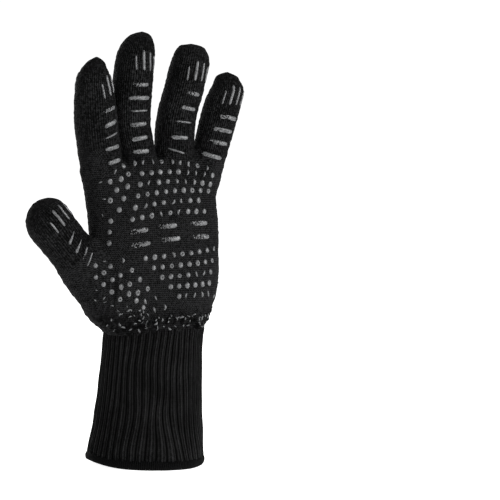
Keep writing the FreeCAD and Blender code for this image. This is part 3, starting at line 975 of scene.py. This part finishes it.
def on_digit(skin, name, rows, along, angle, height):
    """A point on a digit's surface, by distance along it and angle from the palm direction."""
    middle, outward = outward_ray(name, rows, along, angle)
    place, normal = skin.land(middle, outward, outward)
    return None if place is None else place + normal * height


def digit_slope(rows, along):
    """Sideways drift of a digit's centre line for each mm along it."""
    ahead, behind = [np.interp(along + d, rows[:, 2], rows[:, 0]) for d in (3.0, -3.0)]
    return float(ahead - behind) / 6.0


def add_digit_bar(mesh, skin, name, number, turn, at_root):
    """A cross bar on a digit; at the root it is laid flat so that it stays on its own finger."""
    along = BARS[name][number]
    rows = digit_rows(name)
    radius = float(np.interp(along, rows[:, 2], rows[:, 3]))
    shift = ROOT_SHIFT.get(name, 0.0) * max(0.0, 1 - number / 3) / radius
    turn = turn - shift if math.cos(turn) > 0 else turn + shift
    arc = math.radians(BAR_ARC[name] * random.uniform(0.94, 1.06))
    if number in LONG_BARS.get(name, ()):
        arc *= LONG_BAR
    width = THUMB_BAR_WIDTH if name == "thumb" else BAR_WIDTH
    if number in THIN_BARS.get(name, ()):
        width = THIN_BAR_WIDTH
    width *= random.uniform(0.9, 1.08)
    wear = WORN_BAR_WEAR if number in WORN_BARS[name] else BAR_WEAR
    seed = random.uniform(0, 50)
    skew = BAR_SKEW.get(name, 0.0)
    if at_root:
        middle, outward = outward_ray(name, rows, along, turn)
        place, normal = skin.land(middle, outward, outward)
        half = radius * math.sin(arc / 2)
        slope = math.degrees(math.atan(skew / half)) + ROOT_BAR_SLOPE.get(name, 0.0)
        add_flat_bar(mesh, skin, place, normal, slope, 2 * half, width, wear)
        return
    slope = digit_slope(rows, along) * BAR_TILT

    def point_at(u, v):
        angle = turn + u * arc / 2
        drift = skew * u - slope * radius * (math.sin(angle) - math.sin(turn))
        breadth = width * brush_width(u) * (1 - BAR_TAPER.get(name, 0.0) * u)
        return on_digit(skin, name, rows, along + drift + v * breadth / 2, angle, bar_rise(u, v, wear, seed))

    lay_grid(mesh, ROUND_BAR_LINES, ROUND_BAR_ACROSS, point_at)


def add_strip(mesh, skin, name, low, length, angle, width):
    """A lengthwise strip on a fingertip, straight as seen from the palm."""
    rows = digit_rows(name)
    low_radius = float(np.interp(low, rows[:, 2], rows[:, 3]))
    palm_side = math.cos(angle) > 0
    lean = STRIP_LEAN.get(name, 0.0) * (1 if palm_side else -1)

    def point_at(u, v):
        along = low + length * (u + 1) / 2
        radius = max(float(np.interp(along, rows[:, 2], rows[:, 3])), 4.0)
        sideways = min(max((math.sin(angle) * low_radius - lean * (along - low)) / radius, -0.985), 0.985)
        turn = math.asin(sideways) if palm_side else math.pi - math.asin(sideways)
        swing = turn + v * width / 2 * brush_width(u) / radius
        return on_digit(skin, name, rows, along, swing, bar_rise(u, v))

    lay_grid(mesh, STRIP_LINES, STRIP_ACROSS, point_at)


def row_of_dots(start, step, count):
    """Dot centres along a straight row."""
    return [(start[0] + step[0] * i, start[1] + step[1] * i) for i in range(count)]


def upper_dots():
    """Six slanted rows below the fingers, each turning upwards at the index side, and a short column."""
    dots = []
    for start, slope, arch, droop, count in UPPER_ROWS:
        for number in range(count):
            share = number / (UPPER_FULL_ROW - 1)
            rise = slope * number + arch * math.sin(math.pi * share) - droop * share**2
            dots.append((start[0] + UPPER_STEP * number, start[1] + rise))
    for start, step, count in UPPER_WINGS:
        dots += row_of_dots(start, step, count)
    return dots


def heel_dots():
    """Triangular field at the little finger side of the palm."""
    dots = []
    (x, z), pitch = HEEL_START, HEEL_ROW_PITCH
    for row in range(HEEL_ROWS):
        step = (HEEL_STEP[0] - HEEL_STEP_LOSS[0] * row, HEEL_STEP[1] - HEEL_STEP_LOSS[1] * row)
        dots += row_of_dots((x + pitch * row, z - pitch * row), step, HEEL_FIRST_COUNT - row)
    return dots


def mound_dots():
    """Diagonal rows over the base of the thumb."""
    return [dot for start, step, count in MOUND_ROWS for dot in row_of_dots(start, step, count)]


def fragment_places():
    """Places where folds leave only a crescent of a dot: above the wrist, on the mound and by the index."""
    places = []
    for start, step, count in FRAGMENT_ROWS:
        for x, z in row_of_dots(start, step, count):
            if random.random() < FRAGMENT_CHANCE:
                places.append((x + random.uniform(-1.7, 1.7), z + random.uniform(-1.3, 1.3)))
    return places


def finish_prints(mesh, name, node):
    """Makes one object of a field of prints."""
    piece = make_object(name, mesh.points, mesh.faces, SILICONE)
    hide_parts(node)
    return piece


def build_hand_prints(skin):
    """Dots and bars on the palm and on the back."""
    fields = {"dots_upper": upper_dots(), "dots_heel": heel_dots(), "dots_thumb": mound_dots()}
    for side, face in (("palm", -1), ("back", 1)):
        for field, dots in fields.items():
            mesh = PrintMesh()
            for x, z in dots:
                add_worn_dot(mesh, skin, x, z, face)
            if field == "dots_thumb":
                for x, z in fragment_places():
                    add_fragment(mesh, skin, x, z, face)
            bend_wrist(finish_prints(mesh, side + "_print_" + field, side + "_" + field))
        mesh = PrintMesh()
        for x, z, slope in PALM_BARS:
            add_palm_bar(mesh, skin, x, z, slope, face)
        bend_wrist(finish_prints(mesh, side + "_print_bars", side + "_bars"))


def build_digit_prints(skin):
    """Bars and strips of every digit, gathered by the part they move with."""
    roots = PrintMesh()
    for name in DIGITS:
        rows = digit_rows(name)
        segments = digit_segments(name)
        meshes = [roots] + [PrintMesh() for _ in segments]
        turn = math.radians(PRINT_TURN[name])
        for number, along in enumerate(BARS[name]):
            middle = digit_point(name, rows, along)
            level = 0
            for part, segment in enumerate(segments, start=1):
                place, direction = joint_frame(segment.joint)
                if (middle - place) @ direction > segment.zone[0]:
                    level = part
            for extra in (0.0, math.pi):
                add_digit_bar(meshes[level], skin, name, number, turn + extra, level == 0)
        low = rows[-1, 2] - STRIP_END[name]
        for index, (length, width) in enumerate(zip(STRIP_LENGTHS, STRIP_WIDTHS)):
            angle = math.radians(STRIP_TURN[name] + STRIP_PITCH * (index - 1.5))
            for extra in (0.0, math.pi):
                start = low + STRIP_RISE.get(name, 0.0) * index
                add_strip(meshes[-1], skin, name, start, length, angle + extra, width)
        for part, segment in enumerate(segments, start=1):
            last = part == len(segments)
            node = name + ("_tip_strips" if last else "_bars_" + segment.part)
            label = name + "_print_" + segment.part
            bend(finish_prints(meshes[part], label, node), segment)
    bend_wrist(finish_prints(roots, "finger_root_print", "finger_root_bars"))


# ==== cuff ====
# Height, half width and half depth.
CUFF_PROFILE = [
    (0.0, 46.0, 30.6), (8.0, 45.6, 30.4), (16.0, 44.9, 30.0), (34.0, 43.2, 29.2), (53.0, 41.4, 28.3),
    (70.0, 40.2, 27.6), (88.0, 39.6, 27.0), (97.0, 39.4, 26.9), (113.0, 39.4, 26.9),
]
CUFF_HALVES = (44.0, 29.0)                  # its usual half width and half depth
CUFF_FLARE = 1.2                            # spread of its thumb side near the hem
CUFF_RIM = 105.6                            # level at which the ribbing turns in under the hand


def cuff_size(z):
    """Half width and half depth of the cuff at a height."""
    rows = np.array(CUFF_PROFILE)
    return np.interp(z, rows[:, 0], rows[:, 1]), np.interp(z, rows[:, 0], rows[:, 2])


def flare(turn, z):
    """How far the thumb side of the cuff spreads outwards near the hem."""
    return CUFF_FLARE * fade(-math.cos(turn), 0.0, 1.0) * (1 - fade(z, 10.0, 36.0))


def tube(name, heights, steps, radius_at, material):
    """A closed-round tube of quads; radius_at gives a point for a turn and a height."""
    points = []
    for z in heights:
        for step in range(steps):
            points.append(radius_at(2 * math.pi * step / steps, z))
    faces = []
    for i in range(len(heights) - 1):
        low, high = i * steps, (i + 1) * steps
        for j in range(steps):
            k = (j + 1) % steps
            faces.append((low + j, low + k, high + k, high + j))
    return make_object(name, points, faces, material)


def around_noise(turn, scale, level):
    """Smooth noise round the cuff; a larger scale gives finer bumps."""
    return noise.noise(Vector((math.cos(turn) * scale, math.sin(turn) * scale, level)))


def rib_level(turn):
    """Height of the ribbing's relief, from -1 in a groove to 0 on a rib."""
    return abs(math.sin(turn * RIBS / 2))**0.75 - 1


def rib_swing(turn, z):
    """How far the ribs wander round the cuff, and run towards the little finger's side near the hem."""
    low = 1 - fade(z, -6.0, 46.0)
    lean_share = fade(math.cos(turn), -0.5, 0.35) * fade(-math.sin(turn), -0.9, 0.3)
    drift = RIB_DRIFT * around_noise(turn, 2, z / 30)
    return RIB_LEAN * low * lean_share - drift


def rib_point(turn, z):
    """Outer surface of the ribbing."""
    rib = rib_level(turn)
    turn += rib_swing(turn, z)
    half, depth = cuff_size(z)
    gather = fade(z, 93.0, 107.0)
    wobble = 0.5 * around_noise(turn, 3, z / 16 + 5)
    wobble += gather * 0.9 * around_noise(turn, 9, z / 5)
    push = RIB_RELIEF * rib + wobble
    level = level_above_wrist(half * math.cos(turn), z)
    push -= 5.0 * fade(level, CUFF_RIM - 1.5, CUFF_RIM + 4.0)
    return ((half + push) * math.cos(turn) - flare(turn, z), (depth + push) * math.sin(turn), z)


def liner_point(turn, z):
    """Outer surface of the cuff's lining."""
    half, depth = cuff_size(z)
    push = -4.6 + 0.4 * around_noise(turn, 4, z / 12)
    return ((half + push) * math.cos(turn), (depth + push) * math.sin(turn), z)


def store_grooves(piece):
    """Stores the ribbing's painted shade factor at every corner: 1 on a rib, 0 in a groove, where the painted
    shade is darkest.
    """
    steps = RIBS * RIB_STEPS
    levels = np.array([rib_level(2 * math.pi * step / steps) for step in range(steps)])
    # painted shade in the ribbing's grooves
    corner_attribute(piece, "painted_shade_factor", 1 + levels[corner_vertices(piece) % steps])


def set_tube_knit(piece, wales, rows_per_mm, columns=0):
    """Knit counts for a round tube, from its own vertex places or, with a count, its mesh columns."""
    count = len(piece.data.vertices)
    places = np.zeros(count * 3)
    piece.data.vertices.foreach_get("co", places)
    places = places.reshape(-1, 3) / MM
    corners = corner_vertices(piece)
    if columns:
        turn = np.arange(count) % columns / columns * wales
    else:
        turn = np.arctan2(places[:, 1] / CUFF_HALVES[1], places[:, 0] / CUFF_HALVES[0])
        turn = turn / (2 * math.pi) * wales
    turn = unwrap(turn[corners].reshape(-1, 4), wales)
    corner_attribute(piece, "wale", turn)
    corner_attribute(piece, "course", (places[:, 2] * rows_per_mm)[corners])
    corner_attribute(piece, "palm", np.zeros(len(corners)))


def build_cuff():
    """Ribbed tube, its liner and the rolled hem."""
    heights = np.arange(4.5, 112.1, 1.5)
    ribs = tube("cuff_ribbing", heights, RIBS * RIB_STEPS, rib_point, RIB_KNIT)
    set_tube_knit(ribs, RIBS * 3, 1 / COURSE_PITCH, RIBS * RIB_STEPS)
    store_grooves(ribs)
    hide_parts("cuff_rib")
    bend_wrist(ribs)
    liner = tube("cuff_lining", np.arange(3.0, 104.1, 2.5), 120, liner_point, COTTON)
    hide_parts("cuff_liner")
    bend_wrist(liner)
    build_hem()


def squared(value):
    """Sine or cosine of a slightly squared circle."""
    return math.copysign(abs(value)**0.8, value)


def build_hem():
    """Binding rolled round the bottom edge of the cuff."""
    steps = 360
    ring = 20
    points = []
    for step in range(steps):
        turn = 2 * math.pi * step / steps
        half, depth = cuff_size(2.0)
        swell = 0.35 * around_noise(turn, 5, 2.0)
        foot = 2 * HEM_LIFT * math.cos(turn)**4 * (1.1 - 0.3 * math.cos(turn))
        top = HEM_HEIGHT + 0.9 * around_noise(turn, 3, 8.0)
        for k in range(ring):
            around = 2 * math.pi * k / ring
            out = HEM_INSET + (HEM_THICKNESS + swell) * squared(math.cos(around))
            rise = squared(math.sin(around))
            height = foot + (top - 0.3 * foot) * (0.5 + 0.5 * rise)
            across = (half + out) * math.cos(turn) - flare(turn, 2.0)
            points.append((across, (depth + out) * math.sin(turn), height))
    faces = []
    for i in range(steps):
        j = (i + 1) % steps
        for k in range(ring):
            m = (k + 1) % ring
            faces.append((i * ring + k, j * ring + k, j * ring + m, i * ring + m))
    hem = make_object("hem_roll", points, faces, HEM_KNIT)
    set_tube_knit(hem, RIBS * 4, 0.9)
    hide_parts("cuff_hem")
    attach(hem, "cuff")


# ==== studio ====
CAMERA_AZIMUTH = -25.0
CAMERA_RISE = 3.0
CAMERA_ROLL = 3.5
CAMERA_DISTANCE = 1.6
CAMERA_AIM = (0.0624, -0.0291, 0.1669)
VIEW_WIDTH = 0.376
WHITE_LIGHT = 1.05                          # brightness of the surroundings behind the glove
SIDE_LIGHT = 0.42
TOP_LIGHT = 0.2
LIGHT_BAND = (0.22, 0.4)                    # where the white fades out, by height of the direction
WHITE_SECTOR = (0.3, 0.8)                   # and round the glove, by cosine from straight behind it
FLOOR_SIZE = 40.0


def add_light(name, place, target, size, power):
    """A square soft box."""
    data = bpy.data.lights.new(name, "AREA")
    data.size = size
    data.energy = power
    lamp = bpy.data.objects.new(name, data)
    lamp.location = place
    lamp.rotation_euler = (Vector(target) - Vector(place)).to_track_quat("-Z", "Y").to_euler()
    bpy.context.scene.collection.objects.link(lamp)


def build_studio():
    """White sweep, soft boxes and the camera."""
    scene = bpy.context.scene
    scene.view_settings.view_transform = "Standard"
    azimuth = math.radians(CAMERA_AZIMUTH)
    rise = math.radians(CAMERA_RISE)
    back = Vector((math.sin(azimuth) * math.cos(rise), -math.cos(azimuth) * math.cos(rise), math.sin(rise)))
    data = bpy.data.cameras.new("camera")
    data.sensor_width = 36.0
    data.lens = 36.0 * CAMERA_DISTANCE / VIEW_WIDTH
    camera = bpy.data.objects.new("camera", data)
    camera.location = Vector(CAMERA_AIM) + back * CAMERA_DISTANCE
    turn = (-back).to_track_quat("-Z", "Y").to_matrix().to_4x4()
    camera.rotation_euler = (turn @ Matrix.Rotation(math.radians(CAMERA_ROLL), 4, "Z")).to_euler()
    scene.collection.objects.link(camera)
    scene.camera = camera
    build_sweep()
    build_surroundings(scene)
    add_light("key", (1.0, -1.15, 0.7), (0, 0, 0.17), 0.6, 30.0)
    add_light("fill", (-0.6, -1.3, 0.5), (0, 0, 0.17), 0.8, 5.0)
    add_light("top", (0.1, 0.3, 1.4), (0, 0, 0.2), 0.8, 8.0)
    add_light("behind", (-0.5, 1.5, 0.5), (0, 0, 0.17), 0.8, 9.0)


def build_surroundings(scene):
    """White behind the glove at the height of the camera, dimmer on the other sides, above and below."""
    world = bpy.data.worlds.new("studio")
    world.use_nodes = True
    nodes = Nodes(world.node_tree)
    direction = nodes.add("ShaderNodeTexCoord").outputs["Generated"]
    split = nodes.add("ShaderNodeSeparateXYZ")
    nodes.link(direction, split.inputs["Vector"])
    band = nodes.map_range(nodes.math("ABSOLUTE", split.outputs["Z"]), LIGHT_BAND, (1.0, 0.0))
    facing = nodes.add("ShaderNodeVectorMath")
    facing.operation = "DOT_PRODUCT"
    azimuth = math.radians(CAMERA_AZIMUTH)
    facing.inputs[1].default_value = (-math.sin(azimuth), math.cos(azimuth), 0)
    nodes.link(direction, facing.inputs[0])
    side = nodes.map_range(facing.outputs["Value"], WHITE_SECTOR, (SIDE_LIGHT, WHITE_LIGHT))
    inside = nodes.math("SUBTRACT", side, TOP_LIGHT)
    background = world.node_tree.nodes["Background"]
    nodes.link(nodes.math("MULTIPLY_ADD", band, inside, TOP_LIGHT), background.inputs["Strength"])
    background.inputs["Color"].default_value = (1.0, 1.0, 1.0, 1.0)
    scene.world = world


def build_sweep():
    """A plain pale floor."""
    nodes = MaterialNodes("sweep")
    nodes.shader.inputs["Base Color"].default_value = (0.93, 0.93, 0.93, 1.0)
    nodes.shader.inputs["Roughness"].default_value = 0.9
    nodes.shader.inputs["Emission Color"].default_value = (1.0, 1.0, 1.0, 1.0)
    nodes.shader.inputs["Emission Strength"].default_value = 0.9
    mesh = bpy.data.meshes.new("floor")
    corners = [(x * FLOOR_SIZE, y * FLOOR_SIZE, 0) for x, y in ((-1, -1), (1, -1), (1, 1), (-1, 1))]
    mesh.from_pydata(corners, [], [(0, 1, 2, 3)])
    mesh.materials.append(nodes.material)
    floor = bpy.data.objects.new("floor", mesh)
    bpy.context.scene.collection.objects.link(floor)


# ==== the glove ====
def build_glove():
    """Makes every piece of the glove."""
    field = sample_field(GRID)
    points, quads = surface(field, GRID, 0.0)
    points, painted_shade_factor = crumple(points, vertex_normals(points, quads))
    normals = vertex_normals(points, quads)
    build_fabric(points, quads, normals, "knit", KNIT, "shell", painted_shade_factor)
    coarse = field[::2, ::2, ::2]
    inner_points, inner_quads = surface(coarse, GRID * 2, -LINER_DEPTH)
    inner_normals = vertex_normals(inner_points, inner_quads)
    build_fabric(inner_points, inner_quads, inner_normals, "lining", COTTON, "liner", None)
    skin = Skin(points, quads)
    build_hand_prints(skin)
    build_digit_prints(skin)
    build_cuff()


build_glove()
build_studio()
